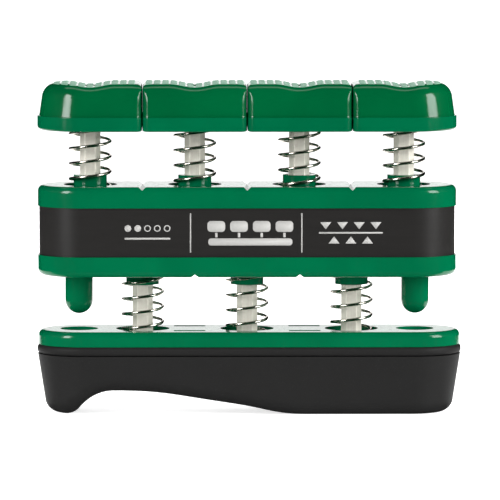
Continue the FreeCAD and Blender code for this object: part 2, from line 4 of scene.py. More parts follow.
import bmesh
import bpy
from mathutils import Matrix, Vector


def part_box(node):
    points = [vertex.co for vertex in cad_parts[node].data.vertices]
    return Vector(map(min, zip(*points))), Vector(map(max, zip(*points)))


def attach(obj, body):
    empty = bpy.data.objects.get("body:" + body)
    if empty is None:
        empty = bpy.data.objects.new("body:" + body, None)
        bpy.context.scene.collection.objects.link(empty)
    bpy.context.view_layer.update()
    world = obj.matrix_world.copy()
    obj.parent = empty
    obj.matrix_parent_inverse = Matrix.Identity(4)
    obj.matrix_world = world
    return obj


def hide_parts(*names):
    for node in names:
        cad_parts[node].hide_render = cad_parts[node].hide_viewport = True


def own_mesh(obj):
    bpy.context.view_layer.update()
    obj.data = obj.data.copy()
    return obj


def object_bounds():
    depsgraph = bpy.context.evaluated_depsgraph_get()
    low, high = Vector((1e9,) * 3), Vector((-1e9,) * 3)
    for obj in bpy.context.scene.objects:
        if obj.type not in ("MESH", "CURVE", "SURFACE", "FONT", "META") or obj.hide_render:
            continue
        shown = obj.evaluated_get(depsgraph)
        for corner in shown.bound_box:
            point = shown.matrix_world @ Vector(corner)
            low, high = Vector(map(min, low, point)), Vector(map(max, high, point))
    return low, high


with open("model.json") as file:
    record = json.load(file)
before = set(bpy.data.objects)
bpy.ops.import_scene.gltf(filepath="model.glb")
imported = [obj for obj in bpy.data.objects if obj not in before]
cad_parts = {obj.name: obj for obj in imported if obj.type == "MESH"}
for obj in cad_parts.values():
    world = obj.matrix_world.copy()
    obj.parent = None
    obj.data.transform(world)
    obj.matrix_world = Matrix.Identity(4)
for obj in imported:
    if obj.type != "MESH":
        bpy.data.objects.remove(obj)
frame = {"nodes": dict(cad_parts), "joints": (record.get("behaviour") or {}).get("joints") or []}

bl_info = {
    "name": "Finger exerciser",
    "version": (1, 0, 0),
    "blender": (4, 5, 0),
    "location": "3D View > Sidebar > Exerciser",
    "description": "Dresses the packed frame of a sprung finger exerciser and sets up its studio",
    "category": "Object",
}

CAD_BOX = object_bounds()
MM = 0.001
FINGERS = 4
BAR_RODS = 3


# ---- Places read from the frame ------------------------------------------------------

def low(node):
    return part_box(node)[0]


def high(node):
    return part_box(node)[1]


def centre_x(node):
    return (low(node).x + high(node).x) / 2


BUTTON_X = [centre_x(f"finger_rod_{n}") for n in range(1, FINGERS + 1)]
PITCH = BUTTON_X[1] - BUTTON_X[0]
HALF_DEPTH = high("bar_upper_shell").y
BAND_FRONT = low("label_band").y
BAND_MIDDLE = (low("label_band").z + high("label_band").z) / 2
COIL_RADIUS = (high("bar_spring_1").x - low("bar_spring_1").x) / 2
COIL_LENGTH = high("bar_spring_1").z - low("bar_spring_1").z
STROKE = frame["joints"][0]["range_m"][1]


# ---- Settings ------------------------------------------------------------------------

def length(name, description, millimetres):
    """A length property given in millimetres."""
    return bpy.props.FloatProperty(
        name=name, description=description, default=millimetres * MM, unit="LENGTH", precision=5
    )


def colour(name, description, red, green, blue):
    """A colour property on linear values."""
    return bpy.props.FloatVectorProperty(
        name=name, description=description, default=(red, green, blue), subtype="COLOR", min=0, max=1
    )


def number(name, description, value):
    return bpy.props.FloatProperty(name=name, description=description, default=value)


def angle(name, description, degrees):
    return bpy.props.FloatProperty(
        name=name, description=description, default=math.radians(degrees), subtype="ANGLE"
    )


class ExerciserSizes(bpy.types.PropertyGroup):
    """Sizes of the pieces that are made here"""
    wire: length("Spring wire", "Diameter of the spring wire", 0.65)
    coil_pitch: length("Coil pitch", "Rise of one open turn of a spring", 3.17)
    skirt_height: length("Skirt height", "Height of the stepped skirt of a button", 3.0)
    skirt_step: length("Skirt step", "How far the skirt stands out past the cap", 0.4)
    side_step: length("Side step", "The same step where two buttons face each other", 0.02)
    upright_edge: length("Upright edge", "Radius of the upright edges beside a neighbour", 1.6)
    crown_edge: length("Crown edge", "Radius along a button's front, back and outer end", 3.3)
    side_edge: length("Side edge", "Edge radius where two buttons face each other", 1.1)
    draft: angle("Draft", "Lean of a cap's front and back", 2)
    end_draft: angle("End draft", "Lean of the outer caps at the ends of the row", 8)
    button_wall: length("Button wall", "Wall thickness of a button", 1.6)
    scoop_half: length("Scoop half width", "From the middle of the finger scoop to its crest", 5.3)
    scoop_depth: length("Scoop depth", "Depth of the finger scoop", 0.7)
    rib_pitch: length("Rib pitch", "Distance between the grip ribs of a button", 1.75)
    rib_width: length("Rib width", "Width of one grip rib", 1.38)
    rib_height: length("Rib height", "Height of one grip rib", 0.12)
    rib_reach: length("Rib reach", "Half the length of a grip rib", 6.3)
    rib_end: length("Rib end", "From the end of the row to the end of the outermost rib", 3.1)
    mark_thickness: length("Print thickness", "Thickness of the printed marks", 0.02)
    ribs: bpy.props.IntProperty(
        name="Ribs", description="Grip ribs on an outer button", default=10, min=1
    )


class ExerciserColours(bpy.types.PropertyGroup):
    """Colours of the finishes"""
    green: colour("Green", "Moulded green plastic of the buttons", 0.0, 0.092, 0.028)
    # Body green is a lighter, bluer copy of the green: painted reflected light on the bar, the handle and
    # the buttons' skirts.
    lit_body_green: colour("Lit body green", "Moulded green plastic of bar and handle", 0.0, 0.108, 0.042)
    # Rib green is far paler and greyer than the green: painted sheen of the pale backdrop on the matte
    # ribs.
    rib_sheen_green: colour("Rib green", "The same plastic where its surface is matte", 0.2, 0.36, 0.265)
    grip: colour("Grip", "Soft dark rubber", 0.013, 0.0129, 0.0128)
    film: colour("Film", "Dark printed band", 0.015, 0.0142, 0.0136)
    print_white: colour("Print", "Pale ink of the marks", 0.43, 0.425, 0.41)
    steel: colour("Steel", "Drawn and plated hexagonal rods", 0.96, 0.87, 0.77)
    plated: colour("Plated wire", "Spring wire", 0.68, 0.64, 0.57)
    stamped: colour("Stamped steel", "Retaining clips", 0.32, 0.31, 0.3)


class ExerciserStage(bpy.types.PropertyGroup):
    """Camera, floor and lights"""
    elevation: angle("Elevation", "Angle of the camera above level", 5)
    turn: angle("Turn", "Angle of the camera to the left of straight on", 0.5)
    distance: length("Distance", "From the camera to the object", 1300)
    view_width: length("View width", "Width that the picture takes in at the object", 105.4)
    aim_x: length("Aim across", "Where the middle of the picture falls, across", 0.63)
    aim_z: length("Aim height", "Where the middle of the picture falls, in height", 34.05)
    floor: colour("Floor", "Pale floor and backdrop", 0.85, 0.85, 0.85)
    glow: number("Floor glow", "Radiance of the floor and backdrop, which are lit from behind", 0.85)
    light_distance: length("Light distance", "From the object to each softbox", 550)
    left_light: number("Left softbox", "Radiance of the left softbox", 12.0)
    left_azimuth: angle("Left azimuth", "Direction of the left softbox from the front", -47)
    left_width: length("Left width", "Width of the left softbox", 190)
    right_light: number("Right softbox", "Radiance of the right softbox", 9.5)
    right_azimuth: angle("Right azimuth", "Direction of the right softbox from the front", 61)
    right_width: length("Right width", "Width of the right softbox", 250)
    left_fill: number("Left fill", "Radiance of the left fill, polarised to leave no highlight", 3.2)
    right_fill: number("Right fill", "Radiance of the right fill, polarised too", 6.0)
    back_fill: number("Back fill", "Radiance of the fill behind the object, polarised too", 5.0)
    fill_azimuth: angle("Fill azimuth", "Direction of the fills from the front, to either side", 84)
    fill_width: length("Fill width", "Width of each fill", 520)
    box_raise: length("Softbox raise", "From the object's middle up to the bottom of the softboxes", 38)
    box_height: length("Softbox height", "Height of the left and right softboxes", 400)
    top_light: number("Top softbox", "Radiance of the overhead softbox", 1.6)
    top_elevation: angle("Top elevation", "Direction of the overhead softbox, past 90 is behind", 103)
    top_width: length("Top width", "Depth of the overhead softbox", 120)
    surroundings: number("Surroundings", "Radiance of the pale room, which only the camera sees", 1.0)


# ---- Node trees written as expressions -----------------------------------------------

class Socket:
    """One output socket of a node tree. Arithmetic on it adds Math nodes to the tree."""

    def __init__(self, tree, link):
        self.tree = tree
        self.link = link

    def math(self, operation, *values):
        inputs = dict(enumerate((self, *values)))
        return add(self.tree, "ShaderNodeMath", {"operation": operation}, inputs)

    def __add__(self, other):
        return self.math("ADD", other)

    def __radd__(self, other):
        return self.math("ADD", other)

    def __sub__(self, other):
        return self.math("SUBTRACT", other)

    def __rsub__(self, other):
        return (self * -1) + other

    def __mul__(self, other):
        return self.math("MULTIPLY", other)

    def __rmul__(self, other):
        return self.math("MULTIPLY", other)

    def __truediv__(self, other):
        return self.math("DIVIDE", other)

    def __pow__(self, other):
        return self.math("POWER", other)

    def at_most(self, other):
        return self.math("MINIMUM", other)

    def at_least(self, other):
        return self.math("MAXIMUM", other)

    def absolute(self):
        return self.math("ABSOLUTE")


def add(tree, kind, settings=None, values=None, output=0):
    """Adds a node, sets it up, fills its inputs with values or links, and returns one output."""
    node = tree.nodes.new(kind)
    for key, setting in (settings or {}).items():
        setattr(node, key, setting)
    for key, value in (values or {}).items():
        if isinstance(value, Socket):
            tree.links.new(value.link, node.inputs[key])
        else:
            node.inputs[key].default_value = value
    return Socket(tree, node.outputs[output]) if node.outputs else None


# ---- Finishes ------------------------------------------------------------------------

class Finish:
    """A material under construction: object coordinates, a few patterns and the surface shader."""

    def __init__(self, name):
        self.material = bpy.data.materials.new(name)
        self.material.use_nodes = True
        self.tree = self.material.node_tree
        self.tree.nodes.clear()
        self.place = self.add("ShaderNodeTexCoord", output="Object")

    def add(self, kind, settings=None, values=None, output=0):
        return add(self.tree, kind, settings, values, output)

    def stretched(self, x, y, z):
        """Object coordinates multiplied along each axis."""
        values = {0: self.place, 1: (x, y, z)}
        return self.add("ShaderNodeVectorMath", {"operation": "MULTIPLY"}, values)

    def noise(self, size, detail=2.0, place=None):
        """Noise from 0 to 1 with features of about this size in metres."""
        values = {"Vector": place or self.place, "Scale": 1 / size, "Detail": detail}
        return self.add("ShaderNodeTexNoise", None, values)

    def cells(self, size):
        """Distance to the nearest cell centre, for fine grains."""
        return self.add("ShaderNodeTexVoronoi", None, {"Vector": self.place, "Scale": 1 / size})

    def band(self, value, start, end):
        """0 below start and 1 above end, with a smooth change between them."""
        values = {"Value": value, "From Min": start, "From Max": end}
        return self.add("ShaderNodeMapRange", {"interpolation_type": "SMOOTHSTEP"}, values)

    def mix(self, share, first, second):
        """One colour or the other by a share from 0 to 1."""
        values = {"Factor": share, 6: first, 7: second}
        return self.add("ShaderNodeMix", {"data_type": "RGBA"}, values, 2)

    def varied(self, share, shade, least, most):
        """A shade that runs from its least to its most brightness by a share from 0 to 1."""
        return self.mix(share, opaque(shade, least), opaque(shade, most))

    def bump(self, height, strength, depth):
        values = {"Strength": strength, "Distance": depth, "Height": height}
        return self.add("ShaderNodeBump", None, values)

    def surface(self, **values):
        """Ends the material in a Principled shader; underscores stand for spaces in socket names."""
        inputs = {key.replace("_", " "): value for key, value in values.items()}
        shader = self.add("ShaderNodeBsdfPrincipled", None, inputs)
        self.add("ShaderNodeOutputMaterial", None, {"Surface": shader})
        return self.material


def opaque(shade, share):
    """A colour property as four numbers, dimmed or lifted by a share."""
    return tuple(min(1.0, level * share) for level in shade) + (1.0,)


def moulded_green(shades):
    """The buttons' plastic."""
    return glossy_plastic("moulded_green", shades.green)


def lit_body_green(shades):
    """The same plastic, painted lighter and bluer for the bar, the handle and the buttons' skirts: a lit
    copy of the green that stands for painted reflected light.
    """
    return glossy_plastic("lit_body_green", shades.lit_body_green)


def glossy_plastic(name, shade):
    """Glossy injection-moulded plastic: faint flow clouds, fine handling scuffs and soft orange peel."""
    finish = Finish(name)
    clouds = finish.noise(14 * MM, 3.0)
    scuffs = finish.noise(0.9 * MM, 5.0, finish.stretched(1.0, 1.0, 0.25))
    base = finish.varied(finish.band(clouds, 0.35, 0.65), shade, 0.94, 1.06)
    roughness = 0.11 + finish.band(scuffs, 0.45, 0.8) * 0.09 + clouds * 0.03
    peel = finish.noise(1.6 * MM, 1.0)
    return finish.surface(
        Base_Color=base, Roughness=roughness, IOR=1.46, Normal=finish.bump(peel, 0.06, 0.02 * MM)
    )


def matte_green(shades):
    """The ribs' matte surface, rough and finely pitted, on a pale grey-green base that is painted sheen:
    the matte ribs' reflection of the pale backdrop, in patches.
    """
    finish = Finish("matte_green")
    pits = finish.noise(0.16 * MM, 3.0)
    sheen_patches = finish.noise(2.5 * MM, 2.0)
    # Painted sheen: the pale rib green, varied in patches and by the pits.
    base = finish.varied(sheen_patches * 0.7 + pits * 0.3, shades.rib_sheen_green, 0.8, 1.2)
    return finish.surface(
        Base_Color=base, Roughness=0.5 + pits * 0.2, IOR=1.46, Normal=finish.bump(pits, 0.5, 0.03 * MM)
    )


def unpolished_shaded_green(shades):
    """The sides of the buttons that rub on each other: left dull from the mould, with the green painted
    darker, to between half and four-fifths, as shade between neighbouring buttons.
    """
    finish = Finish("unpolished_shaded_green")
    rubs = finish.noise(0.5 * MM, 4.0)
    # Painted shade: the base runs from half to four-fifths of the green, varied by the rubs.
    base = finish.varied(rubs, shades.green, 0.5, 0.8)
    return finish.surface(
        Base_Color=base, Roughness=0.8 + rubs * 0.1, IOR=1.46, Specular_IOR_Level=0.05,
        Normal=finish.bump(rubs, 0.4, 0.03 * MM),
    )


def soft_grip(shades):
    """Soft-touch rubber: a fine sprayed grain, pale dust specks and slightly polished high spots."""
    finish = Finish("soft_grip")
    grain = finish.noise(0.35 * MM, 4.0)
    beads = finish.cells(0.9 * MM)
    patches = finish.noise(9 * MM, 2.0)
    dust = finish.band(finish.noise(0.28 * MM, 1.0), 0.66, 0.76)
    dark = finish.varied(patches, shades.grip, 0.9, 1.12)
    base = finish.mix(dust * 0.18, dark, opaque(shades.grip, 4.0))
    roughness = 0.52 + grain * 0.14 - patches * 0.06
    height = grain + beads * 0.35
    return finish.surface(
        Base_Color=base, Roughness=roughness, IOR=1.5, Specular_IOR_Level=0.15,
        Normal=finish.bump(height, 0.35, 0.04 * MM),
    )


def printed_film(shades):
    """Satin film of the band: even, dark, with a trace of brushed print grain."""
    finish = Finish("printed_film")
    streaks = finish.noise(0.5 * MM, 3.0, finish.stretched(0.08, 0.08, 1.0))
    base = finish.varied(streaks, shades.film, 0.88, 1.14)
    return finish.surface(
        Base_Color=base, Roughness=0.34 + streaks * 0.1, IOR=1.48, Specular_IOR_Level=0.3,
        Normal=finish.bump(streaks, 0.08, 0.01 * MM),
    )


def pale_ink(shades):
    """Screen-printed ink with slightly uneven cover."""
    finish = Finish("pale_ink")
    cover = finish.noise(0.3 * MM, 3.0)
    base = finish.varied(cover, shades.print_white, 0.9, 1.05)
    return finish.surface(Base_Color=base, Roughness=0.42 + cover * 0.1, IOR=1.45)


def drawn_steel(shades):
    """Rod drawn through a die and dull-plated: fine upright lines, a chalky mottle and sliding wear."""
    finish = Finish("drawn_steel")
    lines = finish.noise(0.22 * MM, 4.0, finish.stretched(1.0, 1.0, 0.02))
    wear = finish.noise(3.5 * MM, 3.0)
    mottle = finish.noise(0.45 * MM, 2.0)
    base = finish.varied(lines * 0.6 + mottle * 0.4, shades.steel, 0.78, 1.16)
    roughness = 0.4 + lines * 0.12 + finish.band(wear, 0.4, 0.7) * 0.06
    return finish.surface(
        Base_Color=base, Metallic=0.35, Roughness=roughness, Normal=finish.bump(lines, 0.2, 0.02 * MM)
    )


def plated_wire(shades):
    """Nickel-plated spring wire: bright, with faint cloudy patches."""
    finish = Finish("plated_wire")
    clouds = finish.noise(0.8 * MM, 4.0)
    base = finish.varied(clouds, shades.plated, 0.85, 1.1)
    return finish.surface(
        Base_Color=base, Metallic=1.0, Roughness=0.16 + clouds * 0.1,
        Normal=finish.bump(clouds, 0.1, 0.01 * MM),
    )


def stamped_steel(shades):
    """Dark oiled spring steel of the clips."""
    finish = Finish("stamped_steel")
    mottle = finish.noise(0.6 * MM, 4.0)
    base = finish.varied(mottle, shades.stamped, 0.75, 1.2)
    return finish.surface(
        Base_Color=base, Metallic=1.0, Roughness=0.3 + mottle * 0.2,
        Normal=finish.bump(mottle, 0.2, 0.01 * MM),
    )


FINISHES = (
    moulded_green, lit_body_green, matte_green, unpolished_shaded_green, soft_grip, printed_film, pale_ink,
    drawn_steel, plated_wire, stamped_steel,
)


def finish(name):
    """The finished material of that name, made on its first use."""
    found = bpy.data.materials.get(name)
    if found:
        return found
    makers = {maker.__name__: maker for maker in FINISHES}
    return makers[name](bpy.context.scene.exerciser_colours)


# ---- Meshes --------------------------------------------------------------------------

SHARP = math.radians(32)
BUTTON_SHARP = math.radians(40)
MERGE = 0.0005 * MM
FLAT_FACE_WEIGHT = 60


def new_piece(name, mesh, body, material=None):
    """Puts a finished mesh into the scene, riding on its body."""
    piece = bpy.data.objects.new(name, mesh)
    bpy.context.scene.collection.objects.link(piece)
    if material:
        mesh.materials.clear()
        mesh.materials.append(finish(material))
    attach(piece, body)
    return piece


def shaded_mesh(name, built, sharp=SHARP):
    """Turns a bmesh into a mesh that is smooth except across edges sharper than that angle."""
    for face in built.faces:
        face.smooth = True
    for edge in built.edges:
        if len(edge.link_faces) == 2 and edge.calc_face_angle(0) > sharp:
            edge.smooth = False
    mesh = bpy.data.meshes.new(name)
    built.to_mesh(mesh)
    built.free()
    return mesh


def weigh_normals(piece):
    """Keeps large flat faces flat where they run into rounded edges."""
    weighted = piece.modifiers.new("weighted_normals", "WEIGHTED_NORMAL")
    weighted.keep_sharp = True
    weighted.weight = FLAT_FACE_WEIGHT


def refined_node(node, name, body, material):
    """A joined-up, smoothly shaded copy of a frame node, which it stands for."""
    source = frame["nodes"][node].data
    built = bmesh.new()
    corners = [built.verts.new(vertex.co) for vertex in source.vertices]
    for polygon in source.polygons:
        built.faces.new([corners[index] for index in polygon.vertices])
    bmesh.ops.remove_doubles(built, verts=built.verts, dist=MERGE)
    bmesh.ops.dissolve_degenerate(built, edges=built.edges, dist=MERGE)
    piece = new_piece(name, shaded_mesh(name, built), body, material)
    weigh_normals(piece)
    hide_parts(node)


def loft(built, rings):
    """Joins closed rings of points, each as long as the first, into a closed skin."""
    rows = [[built.verts.new(point) for point in ring] for ring in rings]
    count = len(rows[0])
    for lower, upper in zip(rows, rows[1:]):
        for index in range(count):
            following = (index + 1) % count
            built.faces.new((lower[index], lower[following], upper[following], upper[index]))
    built.faces.new(list(reversed(rows[0])))
    built.faces.new(rows[-1])


def lathe(built, x, profile, steps=48):
    """A closed ring-shaped solid about the vertical through x, from its (radius, height) outline."""
    rows = []
    for step in range(steps):
        turn = math.tau * step / steps
        row = [(x + r * math.cos(turn), r * math.sin(turn), z) for r, z in profile]
        rows.append([built.verts.new(point) for point in row])
    for step in range(steps):
        here, there = rows[step], rows[(step + 1) % steps]
        for index in range(len(profile)):
            after = (index + 1) % len(profile)
            built.faces.new((here[index], there[index], there[after], here[after]))


def slab(built, corners, front, back):
    """A flat shape between two depths, from (x, z) corners, counter-clockwise seen from the front."""
    near = [built.verts.new((x, front, z)) for x, z in corners]
    far = [built.verts.new((x, back, z)) for x, z in corners]
    built.faces.new(near)
    built.faces.new(list(reversed(far)))
    for index in range(len(corners)):
        after = (index + 1) % len(corners)
        built.faces.new((near[index], far[index], far[after], near[after]))


# ---- Finger buttons ------------------------------------------------------------------

ARC_STEPS = 12
ROUND_STEPS = 26
SIDE_STEPS = 14
LONG_STEPS = 56
EDGE_STEPS = 7
BEAD_STEPS = 3
TOP_RINGS = 14
ROOF = 2.4 * MM
TOUCHING = 0.02 * MM
MORE_INNER_RIBS = 2


def arc_turns(steps):
    return [math.pi / 2 * step / steps for step in range(steps + 1)]


class ButtonShape:
    """The outer form of one finger button, from its box in the frame."""

    def __init__(self, place, sizes):
        node = f"finger_button_{place}"
        self.sizes = sizes
        self.x = BUTTON_X[place - 1]
        self.left = low(node).x
        self.right = high(node).x
        self.bottom = low(node).z
        self.crest = high(node).z - sizes.rib_height - TOUCHING
        self.skirt_top = self.bottom + sizes.skirt_height
        self.shoulder = self.crest - sizes.crown_edge - sizes.scoop_depth
        self.ceiling = self.crest - sizes.scoop_depth - ROOF
        self.front_centre = self.crown_centre(sizes.draft)
        self.end_shift = self.crown_centre(sizes.end_draft) - self.front_centre
        self.outward = {1: -1, FINGERS: 1}.get(place, 0)

    def top(self, x):
        """Height of the finger surface: flat crests and one scoop."""
        share = min(1.0, abs(x - self.x) / self.sizes.scoop_half)
        return self.crest - self.sizes.scoop_depth * (1 + math.cos(math.pi * share)) / 2

    def wall_inset(self, draft, height):
        """How far a leaning wall of the cap stands in from the skirt at a height."""
        return self.sizes.skirt_step + math.tan(draft) * (height - self.skirt_top)

    def crown_centre(self, draft):
        """How far in the middle of the crown's rounding lies, so that it runs on from the wall."""
        crown = self.sizes.crown_edge
        meeting = self.crest - crown * (1 - math.sin(draft))
        return self.wall_inset(draft, meeting) + crown * math.cos(draft)

    def crown_arc(self, draft, share):
        """The inset and the fall of the crown's rounding, at a share of its way up from the wall."""
        turn = draft + (math.pi / 2 - draft) * share
        crown = self.sizes.crown_edge
        return self.crown_centre(draft) - crown * math.cos(turn), crown * (1 - math.sin(turn))

    def ring(self, deep, side, end, height=None, drops=None, corner=None):
        """Points round the button, drawn in by separate amounts at the depth, side and outer end.

        The height is a number, or the finger surface lowered by drops for the same three directions.
        """
        arcs = [self.corner_arc(quarter, deep, side, end, corner) for quarter in range(4)]
        outline = []
        for quarter, arc in enumerate(arcs):
            following = arcs[(quarter + 1) % 4]
            outline += arc
            outline += stretch(arc[-1], following[0], self.steps_after(quarter))
        return [self.placed(point, height, drops) for point in outline]

    def corner_arc(self, quarter, deep, side, end, corner):
        """One corner as (x, y, facing, at the outer end) points; the corners run from the front right."""
        toward = 1 if quarter in (0, 1) else -1
        is_end = toward == self.outward
        inset = end if is_end else side
        half_depth = HALF_DEPTH - deep
        if is_end:
            radius = half_depth
        else:
            radius = min(corner or self.sizes.upright_edge - inset, half_depth * 0.9)
        edge = self.right if toward > 0 else self.left
        middle_x = edge - toward * (radius + inset)
        middle_y = half_depth - radius
        if quarter in (0, 3):
            middle_y = -middle_y
        start = (quarter - 1) * math.pi / 2
        arc = []
        for turn in arc_turns(ROUND_STEPS if is_end else ARC_STEPS):
            facing = Vector((math.cos(start + turn), math.sin(start + turn)))
            arc.append((middle_x + radius * facing.x, middle_y + radius * facing.y, facing, is_end))
        return arc

    def steps_after(self, quarter):
        """How many steps the straight stretch after a corner has, none at a full-round end."""
        if quarter in (1, 3):
            return LONG_STEPS
        toward = 1 if quarter == 0 else -1
        return 0 if toward == self.outward else SIDE_STEPS

    def placed(self, point, height, drops):
        """A point of the outline at its height."""
        x, y, facing, is_end = point
        if drops is None:
            return Vector((x, y, height))
        deep_drop, side_drop, end_drop = drops
        across = end_drop if is_end else side_drop
        drop = deep_drop * facing.y ** 2 + across * facing.x ** 2
        base = self.top(x) if height is None else height
        return Vector((x, y, base - drop))


def stretch(before, after, steps):
    """The points between the last of one corner and the first of the next, which face as that last."""
    points = []
    for step in range(1, steps):
        share = step / steps
        x = before[0] + (after[0] - before[0]) * share
        y = before[1] + (after[1] - before[1]) * share
        points.append((x, y, before[2], before[3]))
    return points


def button_rings(shape):
    """Every ring of a button's skin, from the middle of its inner ceiling to the middle of its top."""
    sizes = shape.sizes
    wall, corner = sizes.button_wall, sizes.upright_edge
    beside = sizes.side_edge
    drafts = (sizes.draft, sizes.end_draft)
    step, side_step = sizes.skirt_step, sizes.side_step
    lip, end_lip = 0.35 * MM, 0.85 * MM
    bead = 0.12 * MM
    inner_corner = 0.3 * MM
    rings = []
    for inset in (7.5 * MM, 5.0 * MM, wall + step):
        rings.append(shape.ring(inset, inset, inset, shape.ceiling, None, inner_corner))
    rings.append(shape.ring(wall, wall, wall, shape.bottom, None, inner_corner))
    for turn in arc_turns(EDGE_STEPS):
        inward = 1 - math.sin(turn)
        rise = 1 - math.cos(turn)
        drops = (-lip * rise, -lip * rise, -end_lip * rise)
        rings.append(shape.ring(lip * inward, lip * inward, end_lip * inward, shape.bottom, drops))
    for turn in arc_turns(BEAD_STEPS):
        inward = bead * (1 - math.cos(turn))
        height = shape.skirt_top - bead * (1 - math.sin(turn))
        rings.append(shape.ring(inward, inward, inward, height))
    for turn in arc_turns(BEAD_STEPS):
        back = bead / 2 * (1 - math.sin(turn))
        rise = bead / 2 * (1 - math.cos(turn))
        inset = step - back
        rings.append(shape.ring(inset, side_step - back / 2, inset, shape.skirt_top + rise, None, corner))
    for share in (0.12, 0.4, 0.7, 1.0):
        height = shape.skirt_top + (shape.shoulder - shape.skirt_top) * share
        deep, end = (shape.wall_inset(draft, height) for draft in drafts)
        rings.append(shape.ring(deep, side_step, end, height, None, corner))
    for turn in arc_turns(EDGE_STEPS * 2):
        share = turn / (math.pi / 2)
        (deep, deep_fall), (end, end_fall) = (shape.crown_arc(draft, share) for draft in drafts)
        side = side_step + beside * (1 - math.cos(turn))
        drops = (deep_fall, beside * (1 - math.sin(turn)), end_fall)
        rings.append(shape.ring(deep, side, end, None, drops, corner))
    last = HALF_DEPTH - 0.4 * MM
    flat_deep, flat_side = shape.front_centre, side_step + beside
    for place in range(1, TOP_RINGS + 1):
        share = place / TOP_RINGS
        deep = flat_deep + (last - flat_deep) * share
        side = flat_side + (last - flat_side) * share
        rings.append(shape.ring(deep, side, deep + shape.end_shift, None, (0, 0, 0), corner))
    return rings


def button_mesh(shape):
    """A hollow button with its spring cup, rod post and braces inside."""
    built = bmesh.new()
    loft(built, button_rings(shape))
    sizes = shape.sizes
    cup, cup_wall, web = 5.5 * MM, 1.1 * MM, 1.2 * MM
    bore, post, brace = 2.2 * MM, 3.5 * MM, 0.5 * MM
    seat = low("finger_spring_1").z + COIL_LENGTH
    ceiling = shape.ceiling + 0.05 * MM
    lathe(built, shape.x, [
        (cup, shape.bottom), (cup + cup_wall, shape.bottom), (cup + cup_wall, seat + web),
        (post, seat + web), (post, ceiling), (bore, ceiling), (bore, seat), (cup, seat),
    ])
    bottom, top = shape.bottom + web, ceiling
    inside = HALF_DEPTH - sizes.skirt_step - sizes.button_wall
    across = PITCH / 2 - sizes.button_wall
    start = cup + cup_wall / 2
    for way in (-1, 1):
        near, far = sorted((shape.x + way * start, shape.x + way * across))
        slab(built, [(near, bottom), (far, bottom), (far, top), (near, top)], -brace, brace)
        front, back = sorted((way * start, way * inside))
        left, right = shape.x - brace, shape.x + brace
        slab(built, [(left, bottom), (right, bottom), (right, top), (left, top)], front, back)
    return built


class EXERCISER_OT_buttons(bpy.types.Operator):
    """Moulds the four finger buttons, each with its scooped top and the cup inside"""
    bl_idname = "exerciser.buttons"
    bl_label = "Finger buttons"

    def execute(self, context):
        sizes = context.scene.exerciser_sizes
        for place in range(1, FINGERS + 1):
            name = f"finger_cap_{place}"
            shape = ButtonShape(place, sizes)
            mesh = shaded_mesh(name, button_mesh(shape), BUTTON_SHARP)
            piece = new_piece(name, mesh, f"finger_{place}", "moulded_green")
            self.second_finishes(mesh, shape)
            weigh_normals(piece)
            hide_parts(f"finger_button_{place}")
        return {"FINISHED"}

    @staticmethod
    def second_finishes(mesh, shape):
        """Gives the flat sides that face a neighbour a dull finish painted darker as shade, and the skirt
        the lighter body green, which paints reflected light.
        """
        sides, skirt = 1, 2
        mesh.materials.append(finish("unpolished_shaded_green"))
        mesh.materials.append(finish("lit_body_green"))
        beside = PITCH / 2 - 0.2 * MM
        for polygon in mesh.polygons:
            across = polygon.center.x - shape.x
            # Faces beside a neighbour take the darker dull green: painted shade between the buttons.
            if abs(across) > beside and across * shape.outward <= 0:
                polygon.material_index = sides
            # The skirt takes the lighter, bluer body green: painted reflected light on its upright face.
            elif polygon.center.z < shape.skirt_top:
                polygon.material_index = skirt


# ---- Geometry Nodes trees ------------------------------------------------------------

class Builder:
    """A Geometry Nodes tree with named inputs, and a piece made by running it once."""

    def __init__(self, name, sizes, counts=()):
        self.tree = bpy.data.node_groups.new(name, "GeometryNodeTree")
        self.identifiers = {}
        for kind, labels in (("Int", counts), ("Float", sizes)):
            for label in labels:
                socket = self.new_socket(label, "INPUT", kind)
                self.identifiers[label] = socket.identifier
        self.new_socket("Mesh", "OUTPUT", "Geometry")
        self.given = self.tree.nodes.new("NodeGroupInput")

    def new_socket(self, label, way, kind):
        return self.tree.interface.new_socket(label, in_out=way, socket_type=f"NodeSocket{kind}")

    def __getitem__(self, label):
        return Socket(self.tree, self.given.outputs[label])

    def add(self, kind, settings=None, values=None, output=0):
        return add(self.tree, kind, settings, values, output)

    def vector(self, x, y, z):
        return self.add("ShaderNodeCombineXYZ", None, {0: x, 1: y, 2: z})

    def position(self):
        here = self.add("GeometryNodeInputPosition")
        return [self.add("ShaderNodeSeparateXYZ", None, {0: here}, axis) for axis in "XYZ"]

    def moved(self, geometry, place):
        return self.add("GeometryNodeSetPosition", None, {"Geometry": geometry, "Position": place})

    def end(self, geometry, material):
        """Realizes, shades and colours the result, and ends the tree."""
        real = self.add("GeometryNodeRealizeInstances", None, {0: geometry})
        smooth = self.add("GeometryNodeSetShadeSmooth", None, {"Geometry": real})
        values = {"Geometry": smooth, "Material": finish(material)}
        painted = self.add("GeometryNodeSetMaterial", None, values)
        self.add("NodeGroupOutput", None, {0: painted})
        return self

    def mesh(self, name, **values):
        """Runs the tree with these inputs and returns a plain mesh."""
        host = bpy.data.objects.new(name, bpy.data.meshes.new(name))
        bpy.context.scene.collection.objects.link(host)
        modifier = host.modifiers.new("made", "NODES")
        modifier.node_group = self.tree
        for label, value in values.items():
            modifier[self.identifiers[label.replace("_", " ")]] = value
        depsgraph = bpy.context.evaluated_depsgraph_get()
        made = bpy.data.meshes.new_from_object(host.evaluated_get(depsgraph), depsgraph=depsgraph)
        bpy.data.objects.remove(host)
        made.name = name
        return made


